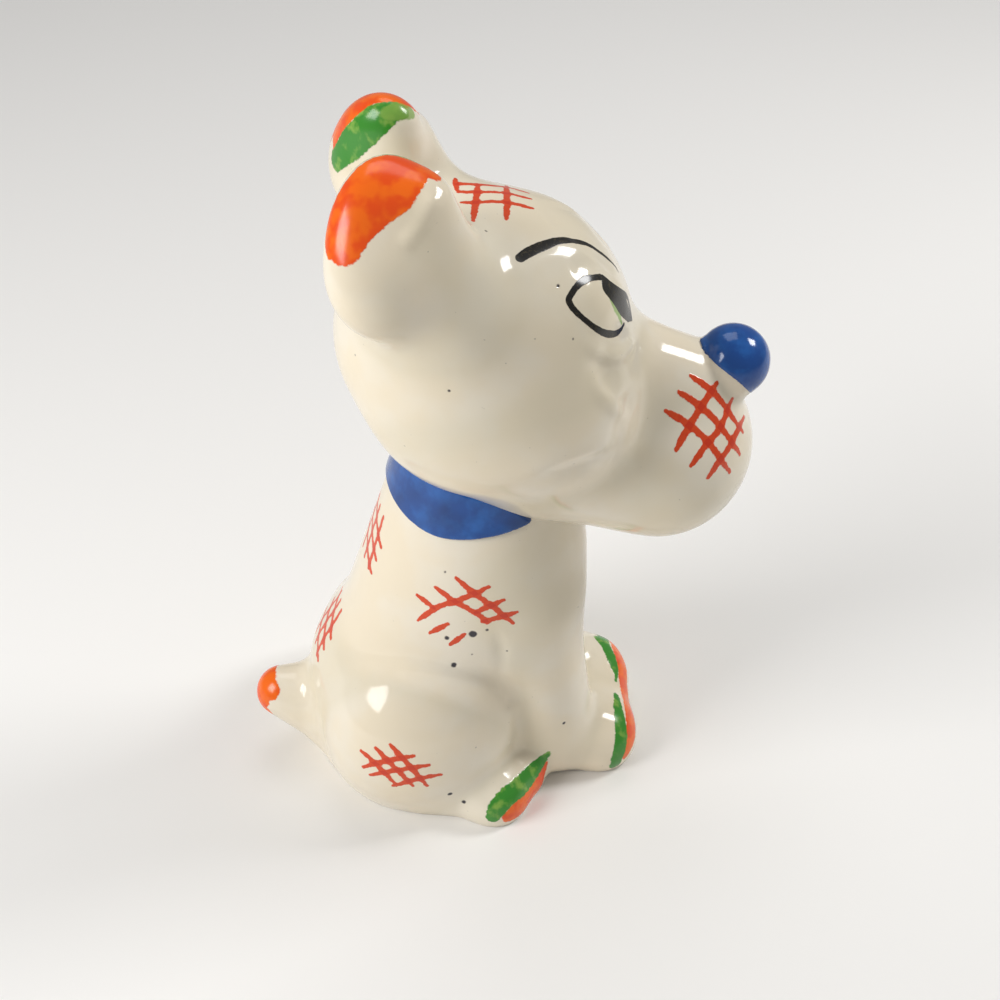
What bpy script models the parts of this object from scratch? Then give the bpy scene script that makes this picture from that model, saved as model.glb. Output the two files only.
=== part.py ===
"""A hand-painted porcelain dog that sits upright, as the pieces of ware that are luted together.

Metres, +Z up, +X towards the nose and +Y to the dog's left. The origin is on the ground, under
the middle of the figurine. Each piece starts as rounded masses that melt into one skin, as clay
does under a thumb. A piece that is luted to another has a seat cut to its neighbour's own
surface, one luting seam away.
The body and the head are hollow castings. The neck of the body is open under the head, the
head has a vent there, and the body drains through a hole in its foot.
"""

import collections
import math

import bmesh
import bpy
import numpy as np
from mathutils import Euler, Matrix, Vector

# Ware: walls, openings and the seam between two pieces
BODY_WALL = 0.0030
HEAD_WALL = 0.0028
LUTING_SEAM = 0.0003
NECK_VENT_RADIUS = 0.0036
DRAIN_HOLE_RADIUS = 0.0028

# Trunk: a leaning taper from the seat to the neck
TRUNK_X = -0.0075
TRUNK_FOOT_RADIUS = 0.0138
TRUNK_FOOT_HEIGHT = 0.0140
NECK_RADIUS = 0.0097
NECK_RISE = 0.0300
NECK_LEAN = 0.0054

# Rump and chest: the masses behind and in front of the trunk
RUMP_RADII = (0.0154, 0.0140, 0.0156)
RUMP_SETBACK = 0.0014
RUMP_HEIGHT = 0.0056
CHEST_RADII = (0.0095, 0.0110, 0.0115)
CHEST_RISE = 0.0165
CHEST_FORWARD = 0.0080
RUMP_MELT = 0.0040
CHEST_MELT = 0.0060

# Head: cranium, forehead and cheeks, placed from the middle of the cranium
HEAD_RISE = 0.0183
HEAD_SETBACK = 0.0005
CRANIUM_RADII = (0.0156, 0.0140, 0.0155)
FOREHEAD_RADII = (0.0114, 0.0115, 0.0122)
FOREHEAD_SHIFT = (0.0049, 0.0, 0.0010)
CHEEK_RADII = (0.0136, 0.0094, 0.0100)
CHEEK_SHIFT = (0.0033, 0.0060, -0.0081)
FOREHEAD_MELT = 0.0040
CHEEK_MELT = 0.0050

# Muzzle, with the bridge above it and a jaw on each side below it
MUZZLE_RADII = (0.0099, 0.0100, 0.0100)
MUZZLE_SHIFT = (0.0219, 0.0, -0.0165)
BRIDGE_START_RADIUS = 0.0063
BRIDGE_START_SHIFT = (0.0106, 0.0, -0.0039)
BRIDGE_END_RADIUS = 0.0050
BRIDGE_END_SHIFT = (0.0012, 0.0, 0.0077)
JAW_START_RADIUS = 0.0080
JAW_START_SHIFT = (0.0066, 0.0028, -0.0154)
JAW_END_RADIUS = 0.0085
JAW_END_SHIFT = (-0.0011, 0.0010, -0.0026)
MUZZLE_MELT = 0.0040
JAW_MELT = 0.0025

# Nose: a ball on the upper end of the muzzle
NOSE_RADII = (0.0042, 0.0040, 0.0040)
NOSE_PITCH = math.radians(55.0)
NOSE_STANDOFF = 0.0023
NOSE_ROOT_RADIUS = 0.0030
NOSE_ROOT_SHIFT = (-0.0021, 0.0, 0.0010)
NOSE_MELT = 0.0010

# Ears: paddles on the back corners of the cranium, tipped back and outwards, with a rim in front
EAR_RADII = (0.0041, 0.0057, 0.0090)
EAR_TILT = (math.radians(-22.0), math.radians(-23.0), math.radians(-59.0))
EAR_BEARING = math.radians(136.4)
EAR_PITCH = math.radians(52.0)
EAR_STANDOFF = 0.0066
EAR_ROOT_RADIUS = 0.0059
EAR_ROOT_SHIFT = (-0.0032, 0.0060, 0.0073)
EAR_BLADE_RADIUS = 0.0056
EAR_BLADE_SHIFT = (0.0004, -0.0003, -0.0033)
EAR_RIM_ROOT_RADIUS = 0.0038
EAR_RIM_ROOT_SHIFT = (-0.0028, 0.0087, 0.0087)
EAR_RIM_TIP_RADIUS = 0.0023
EAR_RIM_TIP_SHIFT = (0.0039, -0.0008, 0.0031)
EAR_MELT = 0.0030

# Collar: a raised band round the neck, whose upper edge runs under the cheeks. Its lower edge is
# lowest at the bend, from where it rises to the back and to the front
COLLAR_THICKNESS = 0.0009
COLLAR_BEND_SETBACK = 0.0057
COLLAR_BEND_DROP = 0.0039
COLLAR_BACK_TILT = math.radians(25.0)
COLLAR_FRONT_TILT = math.radians(7.0)
COLLAR_TUCK = 0.0070
COLLAR_FORWARD = 0.0045

# Tail: a short taper from the back of the rump, tipped up
TAIL_ROOT_RADIUS = 0.0055
TAIL_TIP_RADIUS = 0.0032
TAIL_SINK = 0.0028
TAIL_RISE = 0.0006
TAIL_LENGTH = 0.0065
TAIL_TILT = math.radians(21.5)

# Haunches: flattened thighs against the sides of the rump
HAUNCH_RADII = (0.0108, 0.0078, 0.0110)
HAUNCH_TILT = (math.radians(6.0), math.radians(4.0), math.radians(-4.0))
HAUNCH_SINK = 0.0045
HAUNCH_SETBACK = 0.0023
HAUNCH_HEIGHT = 0.0083

# Hind paws: they come out from under the front of the haunches, with two toes side by side
HIND_TOE_RADIUS = 0.0037
HIND_TOE_HEIGHT = 0.0018
HIND_TOE_STANDOFF = 0.0020
HIND_TOE_BEARING = math.radians(26.6)
HIND_INNER_TOE_RADIUS = 0.0034
HIND_INNER_TOE_SHIFT = (0.0032, -0.0030, 0.0)
HIND_HEEL_RADIUS = 0.0040
HIND_PAW_LENGTH = 0.0073

# Forelegs: straight legs down the chest, with round front paws side by side
FORELEG_SPREAD = 0.0058
SHOULDER_RADIUS = 0.0057
SHOULDER_FORWARD = 0.0025
SHOULDER_DROP = 0.0045
ANKLE_RADIUS = 0.0050
ANKLE_HEIGHT = 0.0042
ANKLE_CLEARANCE = 0.0001
FRONT_TOE_RADIUS = 0.0043
FRONT_TOE_REACH = 0.0058
FRONT_TOE_HEIGHT = 0.0026
FRONT_TOE_SPACING = 0.0033
FRONT_PAW_TURN_IN = 0.0007
PAW_MELT = 0.0025

# Skins: how fine they are, and the share of their faces that is kept
CASTING_FACET = 0.0012
HOLLOW_FACET = 0.0018
LIMB_FACET = 0.0011
SMALL_FACET = 0.0009
CASTING_KEEP = 0.25
HOLLOW_KEEP = 0.22
LIMB_KEEP = 0.30
SMALL_KEEP = 0.34
EVEN_STEPS = 4
EVEN_FACTOR = 0.5
DRAW_STEPS = 5
PROBE = 1.0e-5
MASS_SEGMENTS = 32
MASS_RINGS = 16
BORE_SEGMENTS = 32
SMOOTH_EDGE_ANGLE = math.radians(40.0)
SPECK = 2.0e-6

# Glazes
IVORY = (0.86, 0.80, 0.68, 1.0)
COBALT = (0.02, 0.07, 0.25, 1.0)
GLAZE_ROUGHNESS = 0.12

RIGHT = -1.0
LEFT = 1.0
UP = Vector((0.0, 0.0, 1.0))

# One rounded mass, and a taper with round ends. melt is how far its crease is filled
Ball = collections.namedtuple("Ball", "centre radii tilt melt")
Limb = collections.namedtuple("Limb", "start start_radius end end_radius melt")
LEVEL = (0.0, 0.0, 0.0)


def sided(shift, side):
    """A shift given for the dog's left, on the side asked for."""
    return Vector((shift[0], shift[1] * side, shift[2]))


def reach(radii, direction):
    """How far an ellipsoid's surface is from its middle, along a unit direction."""
    return 1.0 / math.sqrt(sum((part / radius) ** 2 for part, radius in zip(direction, radii)))


def heading(bearing, pitch, side=LEFT):
    """A unit direction: bearing turns from the nose to the side, pitch rises from level."""
    level = math.cos(pitch)
    return Vector((level * math.cos(bearing), side * level * math.sin(bearing), math.sin(pitch)))


# Middles of the main masses, each from what carries it
TRUNK_FOOT = Vector((TRUNK_X, 0.0, TRUNK_FOOT_HEIGHT))
NECK_CENTRE = TRUNK_FOOT + Vector((NECK_LEAN, 0.0, NECK_RISE))
RUMP_CENTRE = Vector((TRUNK_X - RUMP_SETBACK, 0.0, RUMP_HEIGHT))
CHEST_CENTRE = TRUNK_FOOT + Vector((CHEST_FORWARD, 0.0, CHEST_RISE))
HEAD_CENTRE = NECK_CENTRE + Vector((-HEAD_SETBACK, 0.0, HEAD_RISE))
MUZZLE_CENTRE = HEAD_CENTRE + Vector(MUZZLE_SHIFT)


def new_collection(name):
    collection = bpy.data.collections.new(name)
    bpy.context.scene.collection.children.link(collection)
    return collection


def new_object(name, mesh, collection):
    thing = bpy.data.objects.new(name, mesh)
    collection.objects.link(thing)
    return thing


def mesh_from(bm, name):
    mesh = bpy.data.meshes.new(name)
    bm.to_mesh(mesh)
    bm.free()
    return mesh


def baked(thing):
    """The object's mesh as its modifiers leave it. The object is removed."""
    bpy.context.view_layer.update()
    graph = bpy.context.evaluated_depsgraph_get()
    mesh = bpy.data.meshes.new_from_object(thing.evaluated_get(graph))
    bpy.data.objects.remove(thing)
    return mesh


def add_ball(bm, centre, radii, tilt=(0.0, 0.0, 0.0)):
    place = Matrix.LocRotScale(centre, Euler(tilt), Vector(radii))
    bmesh.ops.create_uvsphere(
        bm, u_segments=MASS_SEGMENTS, v_segments=MASS_RINGS, radius=1.0, matrix=place
    )


def add_limb(bm, start, start_radius, end, end_radius):
    """Two balls and the cone that touches both."""
    add_ball(bm, start, [start_radius] * 3)
    add_ball(bm, end, [end_radius] * 3)
    axis = end - start
    lean = math.asin((start_radius - end_radius) / axis.length)
    run = axis.normalized()
    rim_a = start + run * start_radius * math.sin(lean)
    rim_b = end + run * end_radius * math.sin(lean)
    turn = run.to_track_quat("Z", "Y").to_matrix().to_4x4()
    bmesh.ops.create_cone(
        bm,
        cap_ends=True,
        segments=MASS_SEGMENTS,
        radius1=start_radius * math.cos(lean),
        radius2=end_radius * math.cos(lean),
        depth=(rim_b - rim_a).length,
        matrix=Matrix.Translation((rim_a + rim_b) / 2.0) @ turn,
    )


def ball_distance(points, ball, inset):
    """About how far each point is from a ball's surface, less than zero inside."""
    turned = (points - np.array(ball.centre)) @ np.array(Euler(ball.tilt).to_matrix())
    radii = np.array(ball.radii) - inset
    share = np.linalg.norm(turned / radii, axis=1)
    slope = np.linalg.norm(turned / radii**2, axis=1)
    return share * (share - 1.0) / np.maximum(slope, 1.0e-9)


def limb_distance(points, limb, inset):
    """How far each point is from a taper with round ends."""
    axis = np.array(limb.end - limb.start)
    length = np.linalg.norm(axis)
    run = axis / length
    lean = (limb.start_radius - limb.end_radius) / length
    offset = points - np.array(limb.start)
    along = offset @ run
    away = np.sqrt(np.maximum((offset * offset).sum(axis=1) - along**2, 0.0))
    rim = np.clip(along - away * lean / math.sqrt(1.0 - lean * lean), 0.0, length)
    radius = limb.start_radius - lean * rim - inset
    return np.hypot(along - rim, away) - radius


def melted_distance(points, masses, inset):
    """How far each point is from the skin over all the masses, with their creases filled."""
    total = None
    for mass in masses:
        measure = ball_distance if isinstance(mass, Ball) else limb_distance
        distance = measure(points, mass, inset)
        if total is None:
            total = distance
            continue
        overlap = np.maximum(mass.melt - np.abs(total - distance), 0.0)
        total = np.minimum(total, distance) - overlap**2 / (4.0 * mass.melt)
    return total


def draw_on(mesh, masses, inset):
    """Moves a rough cover's points on to the melted skin."""
    flat = np.empty(len(mesh.vertices) * 3, np.float32)
    mesh.vertices.foreach_get("co", flat)
    points = flat.reshape(-1, 3).astype(np.float64)
    for _ in range(DRAW_STEPS):
        slope = np.empty_like(points)
        for axis, step in enumerate(np.eye(3) * PROBE):
            ahead = melted_distance(points + step, masses, inset)
            behind = melted_distance(points - step, masses, inset)
            slope[:, axis] = (ahead - behind) / (2.0 * PROBE)
        steep = np.maximum((slope * slope).sum(axis=1), 0.1)
        distance = melted_distance(points, masses, inset)
        points -= slope * (distance / steep)[:, None]
    mesh.vertices.foreach_set("co", points.astype(np.float32).ravel())
    mesh.update()


def skin(name, masses, facet, keep, inset=0.0):
    """One closed skin over overlapping masses, each drawn in by inset, with filled creases.

    It is covered at the facet's size and then thinned to the share of its faces to keep.
    """
    bm = bmesh.new()
    for mass in masses:
        if isinstance(mass, Ball):
            add_ball(bm, mass.centre, [radius - inset for radius in mass.radii], mass.tilt)
        else:
            add_limb(
                bm, mass.start, mass.start_radius - inset, mass.end, mass.end_radius - inset
            )
    rough = new_object(name, mesh_from(bm, name), CUTTERS)
    cover = rough.modifiers.new("cover", "REMESH")
    cover.mode = "VOXEL"
    cover.voxel_size = facet
    even = rough.modifiers.new("even", "SMOOTH")
    even.factor = EVEN_FACTOR
    even.iterations = EVEN_STEPS
    mesh = baked(rough)
    draw_on(mesh, masses, inset)
    drawn = new_object(name, mesh, CUTTERS)
    thin = drawn.modifiers.new("thin", "DECIMATE")
    thin.ratio = keep
    thin.use_collapse_triangulate = True
    return baked(drawn)


def mirrored(mesh):
    """The same mesh for the dog's other side."""
    bm = bmesh.new()
    bm.from_mesh(mesh)
    bmesh.ops.scale(bm, vec=(1.0, -1.0, 1.0), verts=bm.verts)
    bmesh.ops.reverse_faces(bm, faces=bm.faces)
    return mesh_from(bm, mesh.name)


def flattened(mesh, point, outward):
    """Cuts away what lies beyond a plane and closes the cut with a flat face."""
    bm = bmesh.new()
    bm.from_mesh(mesh)
    everything = bm.verts[:] + bm.edges[:] + bm.faces[:]
    bmesh.ops.bisect_plane(
        bm, geom=everything, plane_co=point, plane_no=outward, clear_outer=True
    )
    rim = [edge for edge in bm.edges if edge.is_boundary]
    bmesh.ops.triangle_fill(bm, edges=rim, use_beauty=True, normal=outward)
    bmesh.ops.recalc_face_normals(bm, faces=bm.faces)
    return mesh_from(bm, mesh.name)


def islands(bm):
    """The separate bodies of a mesh, as lists of faces."""
    left = set(bm.faces)
    while left:
        body = [left.pop()]
        for face in body:
            for edge in face.edges:
                for neighbour in edge.link_faces:
                    if neighbour in left:
                        left.remove(neighbour)
                        body.append(neighbour)
        yield body


def fettled(mesh):
    """Cleans a cut mesh: welds specks and drops the crumbs that lie apart from the piece."""
    bm = bmesh.new()
    bm.from_mesh(mesh)
    bmesh.ops.remove_doubles(bm, verts=bm.verts, dist=SPECK)
    bmesh.ops.dissolve_degenerate(bm, edges=bm.edges, dist=SPECK)
    bodies = sorted(islands(bm), key=lambda body: sum(face.calc_area() for face in body))
    crumbs = [face for body in bodies[:-1] for face in body]
    bmesh.ops.delete(bm, geom=crumbs, context="FACES")
    return mesh_from(bm, mesh.name)


def cutter(name, mesh, growth=0.0):
    """A helper that is only cut with, grown outwards along its normals."""
    tool = new_object(name, mesh, CUTTERS)
    tool.hide_render = True
    tool.display_type = "WIRE"
    if growth:
        swell = tool.modifiers.new("growth", "DISPLACE")
        swell.direction = "NORMAL"
        swell.mid_level = 0.0
        swell.strength = growth
    return tool


def bore(name, centre, radius, low, high):
    """An upright round cutter."""
    bm = bmesh.new()
    bmesh.ops.create_cone(
        bm,
        cap_ends=True,
        segments=BORE_SEGMENTS,
        radius1=radius,
        radius2=radius,
        depth=high - low,
        matrix=Matrix.Translation((centre.x, centre.y, (low + high) / 2.0)),
    )
    return cutter(name, mesh_from(bm, name))


def cut(name, mesh, tools):
    """The mesh with each tool taken out of it."""
    blank = new_object(name, mesh, CUTTERS)
    for tool in tools:
        seat = blank.modifiers.new("seat_" + tool.name, "BOOLEAN")
        seat.operation = "DIFFERENCE"
        seat.solver = "EXACT"
        seat.object = tool
    return baked(blank)


def glaze(name, colour):
    material = bpy.data.materials.new(name + "_glaze")
    material.use_nodes = True
    shader = material.node_tree.nodes["Principled BSDF"]
    shader.inputs["Base Color"].default_value = colour
    shader.inputs["Roughness"].default_value = GLAZE_ROUGHNESS
    shader.inputs["Metallic"].default_value = 0.0
    material.diffuse_color = colour
    return material


def finish(name, mesh, colour):
    """Turns a cut mesh into a finished piece."""
    mesh = fettled(mesh)
    mesh.name = name
    mesh.materials.clear()
    mesh.materials.append(glaze(name, colour))
    mesh.shade_smooth()
    mesh.set_sharp_from_angle(angle=SMOOTH_EDGE_ANGLE)
    return new_object(name, mesh, FIGURINE)


def body_masses():
    return [
        Limb(TRUNK_FOOT, TRUNK_FOOT_RADIUS, NECK_CENTRE, NECK_RADIUS, RUMP_MELT),
        Ball(RUMP_CENTRE, RUMP_RADII, LEVEL, RUMP_MELT),
        Ball(CHEST_CENTRE, CHEST_RADII, LEVEL, CHEST_MELT),
    ]


def jaw(side):
    start = HEAD_CENTRE + sided(JAW_START_SHIFT, side)
    end = MUZZLE_CENTRE + sided(JAW_END_SHIFT, side)
    return Limb(start, JAW_START_RADIUS, end, JAW_END_RADIUS, JAW_MELT)


def hollow_head_masses():
    forehead = HEAD_CENTRE + Vector(FOREHEAD_SHIFT)
    return [
        Ball(HEAD_CENTRE, CRANIUM_RADII, LEVEL, FOREHEAD_MELT),
        Ball(forehead, FOREHEAD_RADII, LEVEL, FOREHEAD_MELT),
        Ball(HEAD_CENTRE + sided(CHEEK_SHIFT, RIGHT), CHEEK_RADII, LEVEL, CHEEK_MELT),
        Ball(HEAD_CENTRE + sided(CHEEK_SHIFT, LEFT), CHEEK_RADII, LEVEL, CHEEK_MELT),
        Ball(MUZZLE_CENTRE, MUZZLE_RADII, LEVEL, MUZZLE_MELT),
        jaw(RIGHT),
        jaw(LEFT),
    ]


def head_masses():
    """The hollow's masses and the bridge, which is solid ware."""
    bridge_start = HEAD_CENTRE + Vector(BRIDGE_START_SHIFT)
    bridge_end = MUZZLE_CENTRE + Vector(BRIDGE_END_SHIFT)
    bridge = Limb(bridge_start, BRIDGE_START_RADIUS, bridge_end, BRIDGE_END_RADIUS, MUZZLE_MELT)
    return hollow_head_masses() + [bridge]


def ear_masses():
    """The right ear: a blade that leans out, its round root in the cranium, and its front rim."""
    direction = heading(EAR_BEARING, EAR_PITCH, RIGHT)
    blade = HEAD_CENTRE + direction * (reach(CRANIUM_RADII, direction) + EAR_STANDOFF)
    root = HEAD_CENTRE + sided(EAR_ROOT_SHIFT, RIGHT)
    neck = blade + sided(EAR_BLADE_SHIFT, RIGHT)
    rim_root = HEAD_CENTRE + sided(EAR_RIM_ROOT_SHIFT, RIGHT)
    rim_tip = blade + sided(EAR_RIM_TIP_SHIFT, RIGHT)
    return [
        Ball(blade, EAR_RADII, EAR_TILT, EAR_MELT),
        Limb(root, EAR_ROOT_RADIUS, neck, EAR_BLADE_RADIUS, EAR_MELT),
        Limb(rim_root, EAR_RIM_ROOT_RADIUS, rim_tip, EAR_RIM_TIP_RADIUS, EAR_MELT),
    ]


def nose_masses():
    direction = heading(0.0, NOSE_PITCH)
    ball = MUZZLE_CENTRE + direction * (reach(MUZZLE_RADII, direction) + NOSE_STANDOFF)
    root = ball + Vector(NOSE_ROOT_SHIFT)
    return [
        Ball(ball, NOSE_RADII, LEVEL, NOSE_MELT),
        Ball(root, [NOSE_ROOT_RADIUS] * 3, LEVEL, NOSE_MELT),
    ]


def tail_masses():
    root = RUMP_CENTRE - Vector((RUMP_RADII[0] - TAIL_SINK, 0.0, -TAIL_RISE))
    tip = root + heading(math.pi, TAIL_TILT) * TAIL_LENGTH
    return [Limb(root, TAIL_ROOT_RADIUS, tip, TAIL_TIP_RADIUS, PAW_MELT)]


def haunch_centre():
    """The middle of the right haunch."""
    out = RUMP_RADII[1] - HAUNCH_SINK
    return Vector((RUMP_CENTRE.x - HAUNCH_SETBACK, RIGHT * out, HAUNCH_HEIGHT))


def haunch_masses():
    return [Ball(haunch_centre(), HAUNCH_RADII, HAUNCH_TILT, PAW_MELT)]


def hind_paw_masses():
    """The right hind paw, set to the haunch's outline at the height of the toes."""
    direction = heading(HIND_TOE_BEARING, 0.0, RIGHT)
    drop = (HAUNCH_HEIGHT - HIND_TOE_HEIGHT) / HAUNCH_RADII[2]
    outline = reach(HAUNCH_RADII, direction) * math.sqrt(max(1.0 - drop * drop, 0.0))
    toe = haunch_centre() + direction * (outline + HIND_TOE_STANDOFF)
    toe.z = HIND_TOE_HEIGHT
    heel = toe - direction * HIND_PAW_LENGTH
    inner_toe = toe + sided(HIND_INNER_TOE_SHIFT, RIGHT)
    return [
        Limb(heel, HIND_HEEL_RADIUS, toe, HIND_TOE_RADIUS, PAW_MELT),
        Limb(toe, HIND_TOE_RADIUS, inner_toe, HIND_INNER_TOE_RADIUS, PAW_MELT),
    ]


def foreleg_masses():
    """The right foreleg: leg, instep and two toes."""
    out = RIGHT * FORELEG_SPREAD
    ankle_x = TRUNK_X + TRUNK_FOOT_RADIUS + ANKLE_CLEARANCE
    shoulder = Vector((CHEST_CENTRE.x + SHOULDER_FORWARD, out, CHEST_CENTRE.z - SHOULDER_DROP))
    ankle = Vector((ankle_x, out, ANKLE_HEIGHT))
    paw_y = RIGHT * (FORELEG_SPREAD - FRONT_PAW_TURN_IN)
    toes = Vector((ankle_x + FRONT_TOE_REACH, paw_y, FRONT_TOE_HEIGHT))
    half_spacing = Vector((0.0, FRONT_TOE_SPACING / 2.0, 0.0))
    inner_toe = toes + half_spacing
    outer_toe = toes - half_spacing
    return [
        Limb(shoulder, SHOULDER_RADIUS, ankle, ANKLE_RADIUS, PAW_MELT),
        Limb(ankle, ANKLE_RADIUS, toes, FRONT_TOE_RADIUS, PAW_MELT),
        Limb(inner_toe, FRONT_TOE_RADIUS, outer_toe, FRONT_TOE_RADIUS, PAW_MELT),
    ]


def on_ground(mesh):
    """The mesh with a flat foot on the ground."""
    return flattened(mesh, Vector((0.0, 0.0, 0.0)), -UP)


def make_body(skin_mesh, head_tool):
    hollow = skin("body_hollow", body_masses(), HOLLOW_FACET, HOLLOW_KEEP, BODY_WALL)
    hollow = flattened(hollow, UP * BODY_WALL, -UP)
    drain = bore("drain_hole", RUMP_CENTRE, DRAIN_HOLE_RADIUS, -BODY_WALL, 2.0 * BODY_WALL)
    tools = [head_tool, cutter("body_hollow", hollow), drain]
    return finish("body_shell", on_ground(cut("body", skin_mesh, tools)), IVORY)


def make_head(skin_mesh):
    hollow = skin("head_hollow", hollow_head_masses(), HOLLOW_FACET, HOLLOW_KEEP, HEAD_WALL)
    vent = bore("neck_vent", NECK_CENTRE, NECK_VENT_RADIUS, NECK_CENTRE.z, HEAD_CENTRE.z)
    tools = [cutter("head_hollow", hollow), vent]
    return finish("head_shell", cut("head", skin_mesh, tools), IVORY)


def make_collar(body_skin, head_tool):
    """A band of the body's own skin, thickened outwards, whose ends run under the jaw."""
    bend = NECK_CENTRE - Vector((COLLAR_BEND_SETBACK, 0.0, COLLAR_BEND_DROP))
    back_down = Vector((-math.sin(COLLAR_BACK_TILT), 0.0, -math.cos(COLLAR_BACK_TILT)))
    front_down = Vector((math.sin(COLLAR_FRONT_TILT), 0.0, -math.cos(COLLAR_FRONT_TILT)))
    high = NECK_CENTRE + UP * COLLAR_TUCK
    front = NECK_CENTRE + Vector((COLLAR_FORWARD, 0.0, 0.0))
    forward = Vector((1.0, 0.0, 0.0))
    edges = ((bend, back_down), (bend, front_down), (high, UP), (front, forward))
    bm = bmesh.new()
    bm.from_mesh(body_skin)
    for point, outward in edges:
        everything = bm.verts[:] + bm.edges[:] + bm.faces[:]
        bmesh.ops.bisect_plane(
            bm, geom=everything, plane_co=point, plane_no=outward, clear_outer=True
        )
    band = new_object("collar_band", mesh_from(bm, "collar_band"), CUTTERS)
    lift = band.modifiers.new("seam", "DISPLACE")
    lift.direction = "NORMAL"
    lift.mid_level = 0.0
    lift.strength = LUTING_SEAM
    cloth = band.modifiers.new("thickness", "SOLIDIFY")
    cloth.thickness = COLLAR_THICKNESS
    cloth.offset = 1.0
    return finish("collar", cut("collar", baked(band), [head_tool]), COBALT)


def make_pair(name, mesh, tools, mid_plane_half_gap=None, stands=True):
    """The right piece and its mirror image on the left, each cut to its own neighbours."""
    for side, word in ((RIGHT, "right"), (LEFT, "left")):
        blank = mesh.copy() if side == RIGHT else mirrored(mesh)
        piece = cut(name, blank, tools[side])
        if mid_plane_half_gap is not None:
            inner_face = Vector((0.0, side * mid_plane_half_gap, 0.0))
            piece = flattened(piece, inner_face, Vector((0.0, -side, 0.0)))
        if stands:
            piece = on_ground(piece)
        finish(name + "_" + word, piece, IVORY)


def grown_pair(name, mesh):
    """A cutter for each side, one luting seam larger than the right piece's skin."""
    return {
        RIGHT: cutter(name + "_right_seat", mesh, LUTING_SEAM),
        LEFT: cutter(name + "_left_seat", mirrored(mesh), LUTING_SEAM),
    }


def build():
    head_skin = skin("head", head_masses(), CASTING_FACET, CASTING_KEEP)
    body_skin = skin("body", body_masses(), CASTING_FACET, CASTING_KEEP)
    haunch_skin = skin("haunch", haunch_masses(), LIMB_FACET, LIMB_KEEP)
    foreleg_skin = skin("foreleg", foreleg_masses(), LIMB_FACET, LIMB_KEEP)
    hind_paw_skin = skin("hind_paw", hind_paw_masses(), SMALL_FACET, SMALL_KEEP)
    ear_skin = skin("ear", ear_masses(), LIMB_FACET, LIMB_KEEP)

    head_tool = cutter("head_seat", head_skin.copy(), LUTING_SEAM)
    body_tool = cutter("body_seat", body_skin.copy(), LUTING_SEAM)
    haunch_tools = grown_pair("haunch", haunch_skin)
    foreleg_tools = grown_pair("foreleg", foreleg_skin)

    make_collar(body_skin, head_tool)
    make_body(body_skin.copy(), head_tool)
    make_head(head_skin)
    make_pair("ear", ear_skin, {RIGHT: [head_tool], LEFT: [head_tool]}, stands=False)
    make_pair("haunch", haunch_skin, {RIGHT: [body_tool], LEFT: [body_tool]})
    make_pair(
        "foreleg",
        foreleg_skin,
        {side: [body_tool, haunch_tools[side]] for side in (RIGHT, LEFT)},
        mid_plane_half_gap=LUTING_SEAM / 2.0,
    )
    make_pair(
        "hind_paw",
        hind_paw_skin,
        {
            side: [body_tool, haunch_tools[side], foreleg_tools[side]]
            for side in (RIGHT, LEFT)
        },
    )
    nose_skin = skin("nose", nose_masses(), SMALL_FACET, SMALL_KEEP)
    finish("nose", cut("nose", nose_skin, [head_tool]), COBALT)
    tail_skin = skin("tail", tail_masses(), SMALL_FACET, SMALL_KEEP)
    tail_tools = [body_tool, haunch_tools[RIGHT], haunch_tools[LEFT]]
    finish("tail", cut("tail", tail_skin, tail_tools), IVORY)


for old in list(bpy.data.objects):
    bpy.data.objects.remove(old)
FIGURINE = new_collection("porcelain_dog")
CUTTERS = new_collection("cutters")
build()
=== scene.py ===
"""Dresses the porcelain dog: its glazed skins, the brush strokes on them, floor, lights and camera.

The forms are worked out in millimetres in the frame of the model, +Z up, +X towards the nose and
+Y to the dog's left, and the meshes are made in metres. A skin is a cover over rounded masses,
drawn on to the melted surface between them. A brush stroke is a path on that surface, given by
where it is seen from the camera, and is kept on the mesh as how deep each point lies inside it.
"""

import collections
import math

import bmesh
import bpy
import numpy as np
from mathutils import Euler, Matrix, Vector


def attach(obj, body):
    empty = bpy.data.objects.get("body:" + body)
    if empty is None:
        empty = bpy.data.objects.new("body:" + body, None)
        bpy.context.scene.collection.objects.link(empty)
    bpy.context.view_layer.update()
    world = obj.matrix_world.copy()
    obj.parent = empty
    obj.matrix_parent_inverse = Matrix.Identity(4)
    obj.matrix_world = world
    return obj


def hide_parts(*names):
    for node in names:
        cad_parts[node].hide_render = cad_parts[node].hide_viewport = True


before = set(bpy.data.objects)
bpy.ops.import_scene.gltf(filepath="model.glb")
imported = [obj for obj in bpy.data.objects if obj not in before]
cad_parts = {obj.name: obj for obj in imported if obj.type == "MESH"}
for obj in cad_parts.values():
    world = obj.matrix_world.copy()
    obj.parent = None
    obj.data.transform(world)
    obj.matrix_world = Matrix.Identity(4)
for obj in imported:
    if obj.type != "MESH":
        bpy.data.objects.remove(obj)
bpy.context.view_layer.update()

MM = 0.001
TINY = 1.0e-9
# What turns a place into its mirror image on the dog's other side
MIRROR = np.array((1.0, -1.0, 1.0))

# Camera: it looks at the middle of the dog from its right and above
AIM = np.array((0.0, 0.0, 37.5))
CAMERA_AZIMUTH = math.radians(-6.0)
CAMERA_ELEVATION = math.radians(40.0)
CAMERA_DISTANCE = 225.0
SENSOR_WIDTH = 36.0
IMAGE_SIZE = 1000.0
FOCAL_PIXELS = 1912.5

# Masses: one rounded ball, and a taper with round ends, each with the fillet to what is before it
Ball = collections.namedtuple("Ball", "centre radii turn melt")
Limb = collections.namedtuple("Limb", "start start_radius end end_radius melt")
# A skin as its masses melt together, and as the fine carving leaves it
Surface = collections.namedtuple("Surface", "form distance")
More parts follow.
